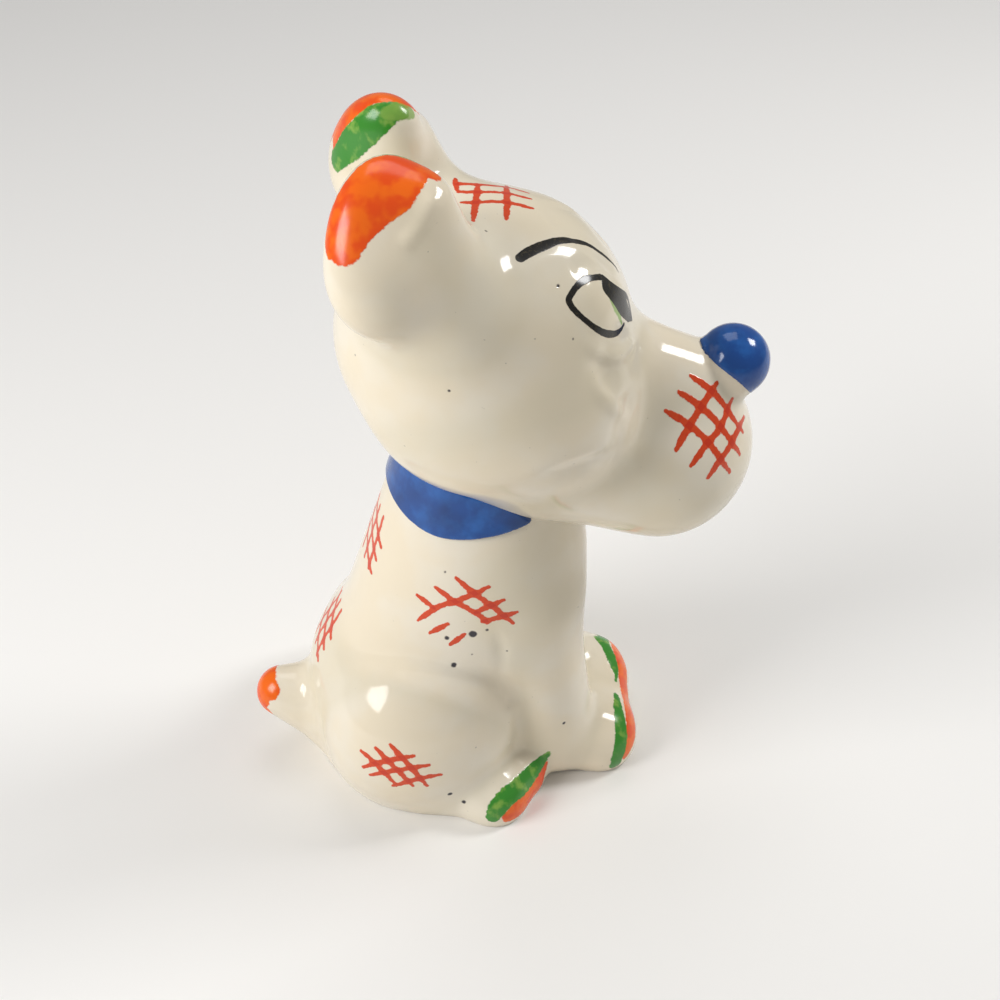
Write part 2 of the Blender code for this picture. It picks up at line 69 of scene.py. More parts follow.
# A ridge or groove along a path, and where ledge gives a direction, a step up towards it
Carving = collections.namedtuple("Carving", "path heights reach ledge")
LEVEL = (0.0, 0.0, 0.0)
EAR_TURN = (-22.0, -23.0, -59.0)
FAR_EAR_TURN = (22.0, -23.0, 59.0)
HAUNCH_TURN = (6.0, 4.0, -4.0)


def mirrored(mass):
    """The same mass on the dog's other side."""
    if isinstance(mass, Limb):
        return mass._replace(start=MIRROR * mass.start, end=MIRROR * mass.end)
    return mass._replace(
        centre=MIRROR * mass.centre, turn=(-mass.turn[0], mass.turn[1], -mass.turn[2])
    )


def both(mass):
    return [mass, mirrored(mass)]


NOSE_MASSES = [Limb((24.4, 0.0, 53.4), 3.9, (26.4, 0.0, 55.8), 4.12, 1.0)]
HEAD_MASSES = [
    Ball((-2.6, 0.0, 62.3), (15.6, 14.0, 15.5), LEVEL, 4.0),
    Ball((2.3, 0.0, 63.3), (11.4, 11.5, 12.2), LEVEL, 4.0),
    *both(Ball((0.7, -6.0, 54.8), (13.6, 9.4, 9.4), LEVEL, 5.0)),
    Ball((19.1, 0.0, 46.0), (9.7, 9.9, 9.8), LEVEL, 4.0),
    *both(Limb((4.0, -2.8, 47.1), 8.0, (18.0, -1.0, 43.6), 8.3, 5.0)),
    Limb((8.0, 0.0, 58.4), 6.3, (20.5, 0.0, 53.5), 5.0, 4.0),
    Limb((-5.6, -6.0, 69.6), 6.2, (-12.3, -9.2, 75.8), 5.8, 6.0),
    Limb((-6.0, 6.0, 69.6), 5.6, (-11.4, 8.8, 76.6), 5.4, 6.0),
    Ball((-12.7, -9.3, 79.4), (4.1, 6.1, 8.9), EAR_TURN, 3.0),
    Limb((-5.2, -8.8, 71.0), 4.0, (-8.2, -8.2, 83.2), 2.6, 4.0),
    Ball((-11.9, 9.2, 79.5), (4.1, 5.2, 9.2), FAR_EAR_TURN, 3.0),
    Limb((-5.6, 8.6, 70.8), 3.4, (-8.6, 8.6, 81.8), 1.8, 2.0),
]
BODY_MASSES = [
    Limb((-7.5, 0.0, 14.0), 13.8, (-2.1, 0.0, 44.0), 9.7, 4.0),
    Ball((-8.9, 0.0, 5.6), (15.4, 14.0, 15.6), LEVEL, 4.0),
    Ball((0.5, 0.0, 30.5), (9.5, 11.0, 11.5), LEVEL, 6.0),
    Ball((-13.6, 0.0, 13.0), (9.0, 11.0, 9.0), LEVEL, 4.0),
    *both(Limb((3.0, -5.8, 26.0), 5.7, (6.4, -5.8, 4.4), 5.0, 4.0)),
    Limb((6.4, -5.8, 4.2), 5.0, (12.1, -5.1, 2.6), 4.3, 2.5),
    Limb((6.4, 5.8, 4.2), 5.0, (12.3, 4.8, 2.6), 4.3, 2.5),
    Limb((12.1, -3.4, 2.6), 4.3, (12.1, -6.6, 2.6), 4.3, 2.0),
    Limb((12.7, 3.0, 2.6), 4.2, (12.2, 5.8, 2.6), 4.2, 2.5),
    Ball((9.7, -0.4, 2.4), (6.4, 3.4, 4.0), LEVEL, 2.5),
    *both(Ball((-11.2, -9.5, 8.5), (10.8, 7.7, 11.0), HAUNCH_TURN, 3.0)),
    *both(Limb((-8.8, -10.8, 2.0), 4.0, (-2.2, -14.0, 1.8), 3.7, 2.5)),
    *both(Limb((-2.2, -14.0, 1.8), 3.7, (1.0, -11.0, 1.8), 3.4, 2.0)),
    Limb((-21.5, 0.0, 6.2), 5.5, (-27.6, 0.0, 8.6), 3.2, 2.0),
]

# What closes the narrow slots between the masses while a skin is made over them
HEAD_FILLING = both(Limb((12.0, -7.2, 54.0), 3.0, (13.0, -7.2, 48.5), 3.0, 1.0))
BODY_FILLING = [
    Limb((3.4, 0.0, 25.0), 3.6, (8.6, 0.0, 3.6), 4.0, 1.0),
    *both(Limb((-1.5, -12.6, 5.4), 2.4, (3.2, -9.8, 3.0), 3.4, 1.0)),
]

# Covers: how fine they are, and how they are made even and drawn on to a surface
COVER_FACET = 0.45
FINE_FACET = 0.22
MASS_SEGMENTS = 28
MASS_RINGS = 14
EVEN_STEPS = 6
EVEN_FACTOR = 0.5
DRAW_STEPS = 6
PROBE = 0.001
NEAR_ENOUGH = 0.0005
LEAST_STEEPNESS = 0.1

# Nose: the edge where its blue glaze ends is a bowed plane, ahead of which the ivory lies lower
NOSE_FILLET = 0.8
NOSE_EDGE_FACING = (0.713, 0.0, 0.701)
NOSE_EDGE_PLACE = 56.7
NOSE_EDGE_BOW = 0.06
NOSE_EDGE_SOFTNESS = 0.2
NOSE_RECESS = 0.25
NOSE_RECESS_RUN = 0.5
GLAZE_LAYER = 0.05

# Carvings: how many times its reach a carving ends at, and how wide the step of a ledge is
CARVING_END = 2.6
LEDGE_SOFTNESS = 0.55


def ball_distance(points, ball):
    turn = Euler([math.radians(angle) for angle in ball.turn]).to_matrix()
    turned = (points - np.array(ball.centre)) @ np.array(turn)
    radii = np.array(ball.radii)
    share = np.linalg.norm(turned / radii, axis=1)
    slope = np.linalg.norm(turned / radii**2, axis=1)
    return share * (share - 1.0) / np.maximum(slope, TINY)


def limb_distance(points, limb):
    axis = np.subtract(limb.end, limb.start)
    length = np.linalg.norm(axis)
    run = axis / length
    lean = (limb.start_radius - limb.end_radius) / length
    offset = points - np.array(limb.start)
    along = offset @ run
    away = np.sqrt(np.maximum((offset * offset).sum(axis=1) - along**2, 0.0))
    rim = np.clip(along - away * lean / math.sqrt(1.0 - lean * lean), 0.0, length)
    return np.hypot(along - rim, away) - (limb.start_radius - lean * rim)


def melted(first, second, melt):
    """The smaller of two distances, with the crease between them filled."""
    overlap = np.maximum(melt - np.abs(first - second), 0.0)
    return np.minimum(first, second) - overlap**2 / (4.0 * melt)


def mass_distance(points, mass):
    measure = ball_distance if isinstance(mass, Ball) else limb_distance
    return measure(points, mass)


def masses_distance(points, masses):
    """How far each point is from the melted skin over the masses, less than zero inside."""
    total = mass_distance(points, masses[0])
    for mass in masses[1:]:
        total = melted(total, mass_distance(points, mass), mass.melt)
    return total


def crease_fill(points, masses):
    """How thick the filling of the creases is at each point, where glaze pools."""
    nearest = np.min([mass_distance(points, mass) for mass in masses], axis=0)
    return nearest - masses_distance(points, masses)


def nose_form(points):
    return masses_distance(points, NOSE_MASSES)


def head_form(points):
    """The head with its ears and nose, before the fine carving."""
    return melted(masses_distance(points, HEAD_MASSES), nose_form(points), NOSE_FILLET)


def body_form(points):
    return masses_distance(points, BODY_MASSES)


def nearest_on(path, points, reach):
    """The points near a path, how they stand off it, how far, and how far along it that is."""
    low, high = path.min(axis=0) - reach, path.max(axis=0) + reach
    near = np.flatnonzero(((points > low) & (points < high)).all(axis=1))
    here = points[near]
    gap = np.full(len(near), np.inf)
    offset = np.zeros((len(near), 3))
    mark = np.zeros(len(near))
    for index, (start, end) in enumerate(zip(path[:-1], path[1:])):
        run = end - start
        share = np.clip((here - start) @ run / max(run @ run, TINY), 0.0, 1.0)
        away = here - start - share[:, None] * run
        length = np.linalg.norm(away, axis=1)
        closer = length < gap
        gap[closer] = length[closer]
        offset[closer] = away[closer]
        mark[closer] = index + share[closer]
    return near, offset, gap, mark


def carved(points, carvings):
    """How far the carvings push the surface out at each point, below zero where they cut in."""
    out = np.zeros(len(points))
    for carving in carvings:
        near, offset, gap, mark = nearest_on(carving.path, points, carving.reach * CARVING_END)
        swell = np.interp(mark, np.arange(len(carving.path)), carving.heights)
        swell = swell * np.exp(-((gap / carving.reach) ** 2))
        if carving.ledge is not None:
            swell = swell * np.tanh(offset @ carving.ledge / LEDGE_SOFTNESS)
        out[near] += swell
    return out


def ahead_of_nose_edge(points):
    """How far each point lies on the nose's side of the edge where its blue glaze ends."""
    return points @ np.array(NOSE_EDGE_FACING) - NOSE_EDGE_PLACE - NOSE_EDGE_BOW * points[:, 1] ** 2


def head_distance(points):
    recess = NOSE_RECESS * np.clip(ahead_of_nose_edge(points) / NOSE_RECESS_RUN, 0.0, 1.0)
    return head_form(points) + recess - carved(points, HEAD_CARVINGS)


def body_distance(points):
    return body_form(points) - carved(points, BODY_CARVINGS)


def slope_of(points, distance, here):
    """The outward direction of a distance at each point, where it is known already."""
    slope = np.empty_like(points)
    for axis, step in enumerate(np.eye(3) * PROBE):
        slope[:, axis] = (distance(points + step) - here) / PROBE
    return slope


def drawn_on(points, distance):
    """The points moved on to the surface where the distance is zero."""
    points = np.array(points, float)
    here = distance(points)
    for _ in range(DRAW_STEPS):
        off = np.abs(here) > NEAR_ENOUGH
        if not off.any():
            break
        slope = slope_of(points[off], distance, here[off])
        steep = np.maximum((slope * slope).sum(axis=1), LEAST_STEEPNESS)
        points[off] -= slope * (here[off] / steep)[:, None]
        here[off] = distance(points[off])
    return points


# Seeing: where a pixel of the photograph's frame falls on a surface
CAMERA_BACK = np.array(
    (
        math.sin(CAMERA_AZIMUTH) * math.cos(CAMERA_ELEVATION),
        -math.cos(CAMERA_AZIMUTH) * math.cos(CAMERA_ELEVATION),
        math.sin(CAMERA_ELEVATION),
    )
)
CAMERA_PLACE = AIM + CAMERA_BACK * CAMERA_DISTANCE
CAMERA_RIGHT = np.array((math.cos(CAMERA_AZIMUTH), math.sin(CAMERA_AZIMUTH), 0.0))
CAMERA_UP = np.cross(CAMERA_BACK, CAMERA_RIGHT)
MARCH_STEPS = 90
MARCH_CARE = 0.8


def seen_at(pixels, distance):
    """The points of a surface that are seen at the pixels, or the nearest ones to that line."""
    across, down = np.array(pixels, float).T
    rays = (
        -CAMERA_BACK
        + np.outer((across - IMAGE_SIZE / 2.0) / FOCAL_PIXELS, CAMERA_RIGHT)
        + np.outer((IMAGE_SIZE / 2.0 - down) / FOCAL_PIXELS, CAMERA_UP)
    )
    rays /= np.linalg.norm(rays, axis=1)[:, None]
    run = np.full(len(rays), CAMERA_DISTANCE / 2.0)
    nearest = np.full(len(rays), np.inf)
    best = run.copy()
    for _ in range(MARCH_STEPS):
        gap = distance(CAMERA_PLACE + rays * run[:, None])
        closer = gap < nearest
        nearest = np.where(closer, gap, nearest)
        best = np.where(closer, run, best)
        run = run + np.maximum(gap, 0.0) * MARCH_CARE
    return drawn_on(CAMERA_PLACE + rays * best[:, None], distance)


PATH_STEPS = 5


def smooth_path(path):
    """Pixels on a smooth curve through the pixels given, and how far along each lies."""
    knots = np.array(path, float)
    before = np.vstack((2.0 * knots[:1] - knots[1:2], knots[:-1]))
    after = np.vstack((knots[1:], 2.0 * knots[-1:] - knots[-2:-1]))
    slopes = (after - before) / 2.0
    marks = np.linspace(0.0, len(knots) - 1.0, (len(knots) - 1) * PATH_STEPS + 1)
    index = np.minimum(marks.astype(int), len(knots) - 2)
    share = (marks - index)[:, None]
    start, end = knots[index], knots[index + 1]
    fine = (
        start * (1.0 + 2.0 * share) * (1.0 - share) ** 2
        + slopes[index] * share * (1.0 - share) ** 2
        + end * share**2 * (3.0 - 2.0 * share)
        - slopes[index + 1] * share**2 * (1.0 - share)
    )
    return fine, marks


def carving(path, heights, reach, distance, ledge=None):
    """A carving by its pixels, and its mirror image."""
    heights = np.broadcast_to(heights, len(path))
    fine, marks = smooth_path(path)
    places = seen_at(fine, distance)
    highs = np.interp(marks, np.arange(len(path)), heights)
    other = None if ledge is None else ledge * MIRROR
    return [Carving(places, highs, reach, ledge), Carving(places * MIRROR, highs, reach, other)]


# Carvings by their pixels
CHEEK_EDGE = (
    (412, 464), (445, 477), (482, 486), (500, 486), (522, 482), (538, 477), (554, 469),
    (570, 464), (601, 457),
)
CHEEK_EDGE_HEIGHTS = (0.10, 0.12, 0.12, 0.14, 0.22, 0.34, 0.42, 0.46, 0.30)
MOUTH_CORNER = ((560, 469), (580, 463), (601, 458), (613, 460))
EYE_POUCH = ((585, 343), (596, 351), (610, 356), (623, 354), (630, 346), (631, 338))
EYE_HOLLOW = ((604, 366), (608, 374))
CHEEK_FOLD = ((595, 378), (601, 393), (613, 406), (625, 417))
MUZZLE_VALLEY = ((628, 408), (621, 430), (617, 448))
EYEBALL = ((592, 297), (603, 311))
EYE_SOCKET = ((580, 268), (594, 263), (609, 268))
BROW_RIDGE = ((524, 268), (545, 254), (572, 250), (592, 254))
NEAR_EAR_RIDGE = ((431, 205), (421, 224), (409, 240))
ELBOW_CREASE = ((497, 632), (501, 652), (501, 676))
HAUNCH_EDGE = ((340, 668), (372, 661), (410, 664), (452, 672), (490, 684), (509, 706))
HAUNCH_EDGE_HEIGHTS = (0.0, 0.25, 0.45, 0.5, 0.5, 0.2)
HAUNCH_FRONT = ((504, 680), (519, 700), (524.5, 722), (519, 742), (506, 757))
# The haunch's ledge is softer than the cheek's
SOFT_LEDGE = 0.5

HEAD_CARVINGS = [
    *carving(CHEEK_EDGE, CHEEK_EDGE_HEIGHTS, 2.4, head_form, CAMERA_UP),
    *carving(MOUTH_CORNER, (-0.1, -0.4, -0.6, -0.2), 1.3, head_form),
    *carving(EYE_POUCH, (0.1, 0.36, 0.46, 0.46, 0.34, 0.1), 0.9, head_form),
    *carving(EYE_HOLLOW, -0.6, 2.0, head_form),
    *carving(CHEEK_FOLD, (0.1, 0.44, 0.46, 0.1), 0.9, head_form),
    *carving(MUZZLE_VALLEY, -0.45, 1.6, head_form),
    *carving(EYEBALL, 0.30, 2.2, head_form),
    *carving(EYE_SOCKET, -0.2, 1.2, head_form),
    *carving(BROW_RIDGE, 0.15, 1.6, head_form),
    *carving(NEAR_EAR_RIDGE, 0.3, 0.9, head_form),
]
BODY_CARVINGS = [
    *carving(ELBOW_CREASE, (-0.05, -0.25, -0.1), 0.9, body_form),
    *carving(HAUNCH_EDGE, HAUNCH_EDGE_HEIGHTS, 2.4, body_form, -CAMERA_UP * SOFT_LEDGE),
    *carving(HAUNCH_FRONT, (-0.1, -0.5, -0.6, -0.5, -0.2), 1.7, body_form),
]
HEAD = Surface(head_form, head_distance)
BODY = Surface(body_form, body_distance)

# Brush strokes by their pixels: patches of red crosshatch. A half is half of a stroke's width
STROKE_TIP = 0.6
STROKE_TAPER = 2.0
MUZZLE_RED_HALF = 0.42
RED_HALF = 0.37
BACK_RED_HALF = RED_HALF * 0.8
CROWN_ALONG_HALF = 0.33
MUZZLE_DOWN = (
    ((691, 376), (715, 394), (743, 432)),
    ((679, 392), (699, 405), (720, 426), (740, 454)),
    ((666, 411), (686, 423), (707, 441), (730, 472)),
)
MUZZLE_UP = (
    ((717, 383), (700, 409), (688, 428), (676, 450)),
    ((732, 399), (720, 428), (707, 444), (691, 466)),
    ((744, 417), (731, 444), (720, 460), (708, 478)),
)
CHEST_DOWN = (
    ((456, 578), (475, 594), (492, 606), (513, 623)),
    ((435, 587), (454, 601), (477, 614), (488, 623)),
    ((417, 595), (434, 608)),
)
CHEST_UP = (
    ((418, 620), (438, 607), (457, 601), (489, 587)),
    ((475, 613), (490, 606), (504, 600)),
    ((482, 622), (501, 617), (517, 612)),
    ((430, 633), (448, 624)),
    ((450, 645), (465, 634)),
)
HAUNCH_DOWN = (
    ((361, 751), (374, 762), (395, 784)),
    ((375.5, 748), (392, 765), (413, 786)),
    ((390, 744.5), (407, 763), (427, 786)),
)
HAUNCH_UP = (
    ((363, 767), (386, 761), (414, 756)),
    ((370, 775), (399, 770), (429, 765)),
    ((393, 786), (418, 779), (441, 774.5)),
)
CROWN_ACROSS = (
    ((455.5, 179), (456.5, 190)),
    ((478, 184.5), (476, 200), (473, 221)),
    ((506.5, 186), (507, 200), (506.5, 219)),
)
CROWN_ALONG = (
    ((456, 184), (468, 184), (486, 185), (508, 187.5), (528, 193)),
    ((458, 192), (474, 192), (494, 192), (511, 194), (531, 199)),
    ((461, 202.5), (474, 202.5), (494, 201.5), (513, 203.5), (533, 208.5)),
)

# The patches on the back: their middles, and how the strokes lie about them in millimetres
UPPER_BACK_PATCH = (-15.6, -1.0, 35.0)
LOWER_BACK_PATCH = (-22.5, 0.6, 20.0)
BACK_LEAN = 0.35
BACK_DOWN_SLANT = 0.12
BACK_ACROSS_SLANT = 0.42
BACK_STROKE_PLACES = (-2.1, 0.0, 2.0)
BACK_STROKE_RUNS = (-3.6, -1.2, 1.2, 3.6)

# Lines in black, and the paint of ears, paws and tail
BROW = (
    (519.5, 258.5), (529, 252.5), (540, 247.5), (548, 244.5), (557, 241.5), (569, 240.5),
    (581, 241), (591, 244.5), (601.5, 251), (609.5, 257), (617, 265), (620.5, 271),
)
BROW_HALVES = (0.52, 0.60, 0.60, 0.56, 0.46, 0.42, 0.34, 0.28, 0.23, 0.2, 0.16, 0.12)
LEFT_BROW_SHIFT = (0.0, 2.6, -0.9)
EYE_RING = (
    (600.5, 277), (593, 278), (585.5, 279.5), (576, 287), (569, 298), (569.5, 303), (575, 311),
    (583, 318.5), (591.5, 325.5), (601, 331.5), (609, 334), (615.5, 333.5), (620.5, 330), (624, 324),
)
EYE_RING_HALVES = (
    0.38, 0.34, 0.44, 0.36, 0.36, 0.37, 0.34, 0.30, 0.32, 0.38, 0.42, 0.38, 0.28, 0.2,
)
PUPIL_FRONT = ((603, 277), (612, 285), (620, 291), (626.5, 296), (629.5, 306), (631.5, 318.5))
PUPIL_BACK = ((603, 280), (603.5, 288.5), (608.5, 295.5), (614.5, 303), (620.5, 311.5), (628, 319.5))
PUPIL_STROKES = 6
PUPIL_HALVES = (0.32, 0.36, 0.36, 0.36, 0.36, 0.3)
PUPIL_GLINT = ((609, 300.5), (614, 308.5), (619, 316), (621.5, 323))
PUPIL_GLINT_HALVES = (0.15, 0.36, 0.36, 0.22)
NEAR_EAR_ORANGE = ((343, 247), (355, 222), (372, 200), (393, 184), (420, 170), (433, 173))
NEAR_EAR_ORANGE_HALVES = (1.9, 2.4, 2.9, 3.0, 1.4, 0.7)
NEAR_EAR_RIM = (
    (331, 249), (330, 234), (336, 214), (349, 190), (367, 171), (387, 162), (404, 162),
    (420, 168), (434, 175),
)
NEAR_EAR_RIM_HALVES = (1.1, 1.3, 1.4, 1.4, 1.4, 1.4, 1.3, 1.2, 0.9)
FAR_EAR_ORANGE = (
    (335, 150), (336, 134), (343, 118), (354, 105), (367, 97), (379, 94), (392, 97), (403, 103),
)
FAR_EAR_ORANGE_HALVES = (0.6, 1.1, 1.5, 1.8, 1.8, 1.7, 1.3, 0.8)
FAR_EAR_GREEN = ((336, 160), (350, 144.5), (365, 129.5), (379, 118), (393, 112), (403, 112))
FAR_EAR_GREEN_HALVES = (1.3, 1.75, 1.8, 1.65, 1.2, 0.8)
FAR_EAR_THIN_GREEN = ((387, 113), (398, 111), (410, 112))
FAR_EAR_THIN_GREEN_HALVES = (0.7, 1.1, 0.8)
FRONT_PAW_GREEN_FAR = ((598, 638), (606, 646), (611, 656), (614.5, 667), (616, 675), (615.5, 681))
FRONT_PAW_GREEN_FAR_HALVES = (0.6, 0.85, 0.85, 0.68, 0.34, 0.2)
FRONT_PAW_GREEN = ((616.5, 695), (618.5, 708), (621, 724), (621.5, 739), (619.5, 752), (615, 765))
FRONT_PAW_GREEN_HALVES = (0.42, 0.72, 0.92, 1.0, 1.0, 0.85)
FRONT_PAW_ORANGE_FAR = ((614.5, 647), (619, 657), (623, 669), (624, 682), (625, 692))
FRONT_PAW_ORANGE_FAR_HALVES = (0.6, 1.0, 1.15, 1.1, 1.0)
FRONT_PAW_ORANGE = (
    (624.5, 688), (626, 696), (629.5, 708), (632, 722), (631.5, 735), (629, 745), (626, 754),
)
FRONT_PAW_ORANGE_HALVES = (0.9, 1.1, 1.25, 1.35, 1.3, 1.15, 0.8)
HIND_PAW_GREEN = (
    (549, 752.5), (540, 763), (531, 774), (521, 786), (507, 797.5), (497, 810), (493, 817),
)
HIND_PAW_GREEN_HALVES = (0.3, 0.8, 1.15, 1.3, 1.3, 1.25, 0.95)
HIND_PAW_ORANGE = ((543, 765), (539, 783), (530, 798), (518, 810), (510, 816))
HIND_PAW_ORANGE_HALVES = (0.7, 1.3, 1.5, 1.5, 1.1)
TAIL_ORANGE = ((269, 668), (260, 681), (257, 696), (262, 711))
TAIL_ORANGE_HALVES = (1.3, 1.9, 1.9, 1.4)
TAIL_TIP = (-30.6, 0.0, 9.8)
TAIL_TIP_HALF = 3.1

# Kiln specks: where they are seen, and how wide
HEAD_SPECKS = ((558, 286), (449, 391), (535, 339), (573, 339), (355, 355), (486, 231))
HEAD_SPECK_HALVES = (0.22, 0.18, 0.1, 0.12, 0.12, 0.14)
BODY_SPECKS = (
    (473, 634), (454, 666), (447, 638), (487, 630), (445, 572), (472, 655), (507, 652),
    (564, 723), (450, 794), (464, 802),
)
BODY_SPECK_HALVES = (0.5, 0.36, 0.3, 0.2, 0.16, 0.13, 0.13, 0.22, 0.32, 0.28)

# The depth that is kept where no stroke is near
FAR = -1.5


def along(path, halves, surface):
    """A stroke as closely spaced points on the surface, each with its half width.

    Where only one half width is given, the brush is laid down and lifted off more lightly.
    """
    fine, marks = smooth_path(path)
    if np.ndim(halves) == 0:
        ends = np.minimum(marks, len(path) - 1.0 - marks) * PATH_STEPS
        wide = halves * np.interp(ends, (0.0, STROKE_TAPER), (STROKE_TIP, 1.0))
    else:
        wide = np.interp(marks, np.arange(len(path)), halves)
    return drawn_on(seen_at(fine, surface.form), surface.distance), wide


def on_other_side(stroke, surface, shift):
    """The stroke's mirror image, which a shift puts a little off, as a hand paints it."""
    points, halves = stroke
    return drawn_on(points * MIRROR + shift, surface.distance), halves


def inside(points, strokes):
    """How deep each point lies inside the nearest of the strokes, below zero outside."""
    depth = np.full(len(points), FAR)
    for path, halves in strokes:
        near, _, gap, mark = nearest_on(path, points, halves.max() - FAR)
        width = np.interp(mark, np.arange(len(path)), halves)
        depth[near] = np.maximum(depth[near], width - gap)
    return depth


def single(paths, halves, surface):
    return [along(path, halves, surface) for path in paths]


def pair(paths, halves, surface, shift=LEVEL):
    """Strokes where they are seen, and their mirror images."""
    made = single(paths, halves, surface)
    return made + [on_other_side(stroke, surface, shift) for stroke in made]


def back_patch(centre, distance):
    """A crosshatch patch on the middle of the back: strokes down it, and strokes across it."""
    rise = np.array((BACK_LEAN, 0.0, 1.0)) / math.hypot(BACK_LEAN, 1.0)
    side = np.array((0.0, 1.0, 0.0))
    sets = []
    for run, step, slant in ((rise, side, BACK_DOWN_SLANT), (side, rise, BACK_ACROSS_SLANT)):
        strokes = []
        for place in BACK_STROKE_PLACES:
            middle = np.array(centre) + step * place
            points = [middle + (run + step * slant) * reach for reach in BACK_STROKE_RUNS]
            strokes.append((drawn_on(points, distance), np.full(len(points), BACK_RED_HALF)))
        sets.append(strokes)
    return sets


def between(first, second, count):
    """Paths spaced evenly from one to another."""
    return [
        [tuple(spot) for spot in np.array(first) * (1.0 - share) + np.array(second) * share]
        for share in np.linspace(0.0, 1.0, count)
    ]


def spots(places, halves):
    """Round spots of paint, kept as the shortest of strokes."""
    return [
        (np.array((place, place)) + np.array(((0.0,), (PROBE,))), np.array((half, half)))
        for place, half in zip(places, halves)
    ]


def dots(pixels, halves, surface):
    return spots(drawn_on(seen_at(pixels, surface.form), surface.distance), halves)


def painted_head():
    return {
        "red_one": pair(MUZZLE_DOWN, MUZZLE_RED_HALF, HEAD)
        + single(CROWN_ACROSS, RED_HALF, HEAD),
        "red_two": pair(MUZZLE_UP, MUZZLE_RED_HALF, HEAD)
        + single(CROWN_ALONG, CROWN_ALONG_HALF, HEAD),
        "black": pair([BROW], BROW_HALVES, HEAD, LEFT_BROW_SHIFT)
        + pair([EYE_RING], EYE_RING_HALVES, HEAD)
        + pair(between(PUPIL_FRONT, PUPIL_BACK, PUPIL_STROKES), PUPIL_HALVES, HEAD),
        "green": pair([FAR_EAR_GREEN], FAR_EAR_GREEN_HALVES, HEAD),
        "orange": pair([NEAR_EAR_ORANGE], NEAR_EAR_ORANGE_HALVES, HEAD)
        + pair([NEAR_EAR_RIM], NEAR_EAR_RIM_HALVES, HEAD)
        + single([FAR_EAR_ORANGE], FAR_EAR_ORANGE_HALVES, HEAD),
        "glint": pair([PUPIL_GLINT], PUPIL_GLINT_HALVES, HEAD)
        + pair([FAR_EAR_THIN_GREEN], FAR_EAR_THIN_GREEN_HALVES, HEAD),
        "speck": dots(HEAD_SPECKS, HEAD_SPECK_HALVES, HEAD),
    }


def painted_body():
    upper_one, upper_two = back_patch(UPPER_BACK_PATCH, body_distance)
    lower_one, lower_two = back_patch(LOWER_BACK_PATCH, body_distance)
    return {
        "red_one": pair(CHEST_DOWN, RED_HALF, BODY)
        + pair(HAUNCH_DOWN, RED_HALF, BODY)
        + upper_one
        + lower_one,
        "red_two": pair(CHEST_UP, RED_HALF, BODY)
        + pair(HAUNCH_UP, RED_HALF, BODY)
        + upper_two
        + lower_two,
        "green": pair([FRONT_PAW_GREEN], FRONT_PAW_GREEN_HALVES, BODY)
        + single([FRONT_PAW_GREEN_FAR], FRONT_PAW_GREEN_FAR_HALVES, BODY)
        + pair([HIND_PAW_GREEN], HIND_PAW_GREEN_HALVES, BODY),
        "orange": pair([FRONT_PAW_ORANGE], FRONT_PAW_ORANGE_HALVES, BODY)
        + single([FRONT_PAW_ORANGE_FAR], FRONT_PAW_ORANGE_FAR_HALVES, BODY)
        + pair([HIND_PAW_ORANGE], HIND_PAW_ORANGE_HALVES, BODY)
        + pair([TAIL_ORANGE], TAIL_ORANGE_HALVES, BODY)
        + spots([TAIL_TIP], [TAIL_TIP_HALF]),
        "speck": dots(BODY_SPECKS, BODY_SPECK_HALVES, BODY),
    }


FINE_PAINTS = ("red_one", "red_two", "black", "speck")
PAINTS = (*FINE_PAINTS, "green", "orange", "glint")


# Meshes
DRAIN_PLACE = (-8.9, 0.0, 0.0)
DRAIN_RADIUS = 2.8
DRAIN_DEPTH = 6.0
DRAIN_SEGMENTS = 48


def mesh_from(bm, name):
    mesh = bpy.data.meshes.new(name)
    bm.to_mesh(mesh)
    bm.free()
    return mesh


def new_object(name, data):
    thing = bpy.data.objects.new(name, data)
    bpy.context.scene.collection.objects.link(thing)
    return thing


def baked(thing):
    """The object's mesh as its modifiers leave it. The object is removed."""
    bpy.context.view_layer.update()
    graph = bpy.context.evaluated_depsgraph_get()
    mesh = bpy.data.meshes.new_from_object(thing.evaluated_get(graph))
    bpy.data.objects.remove(thing)
    return mesh


def mesh_points(mesh):
    flat = np.empty(len(mesh.vertices) * 3, np.float32)
    mesh.vertices.foreach_get("co", flat)
    return flat.reshape(-1, 3).astype(float) / MM


def set_points(mesh, points):
    mesh.vertices.foreach_set("co", (points * MM).astype(np.float32).ravel())
    mesh.update()


def add_ball(bm, centre, radii, turn=LEVEL):
    place = Matrix.LocRotScale(
        Vector(centre) * MM,
        Euler([math.radians(angle) for angle in turn]),
        Vector(radii) * MM,
    )
    bmesh.ops.create_uvsphere(
        bm, u_segments=MASS_SEGMENTS, v_segments=MASS_RINGS, radius=1.0, matrix=place
    )


def add_limb(bm, limb):
    start, end = Vector(limb.start), Vector(limb.end)
    add_ball(bm, start, [limb.start_radius] * 3)
    add_ball(bm, end, [limb.end_radius] * 3)
    axis = end - start
    lean = math.asin((limb.start_radius - limb.end_radius) / axis.length)
    run = axis.normalized()
    rim_a = (start + run * limb.start_radius * math.sin(lean)) * MM
    rim_b = (end + run * limb.end_radius * math.sin(lean)) * MM
    turn = run.to_track_quat("Z", "Y").to_matrix().to_4x4()
    bmesh.ops.create_cone(
        bm,
        cap_ends=True,
        segments=MASS_SEGMENTS,
        radius1=limb.start_radius * math.cos(lean) * MM,
        radius2=limb.end_radius * math.cos(lean) * MM,
        depth=(rim_b - rim_a).length,
        matrix=Matrix.Translation((rim_a + rim_b) / 2.0) @ turn,
    )


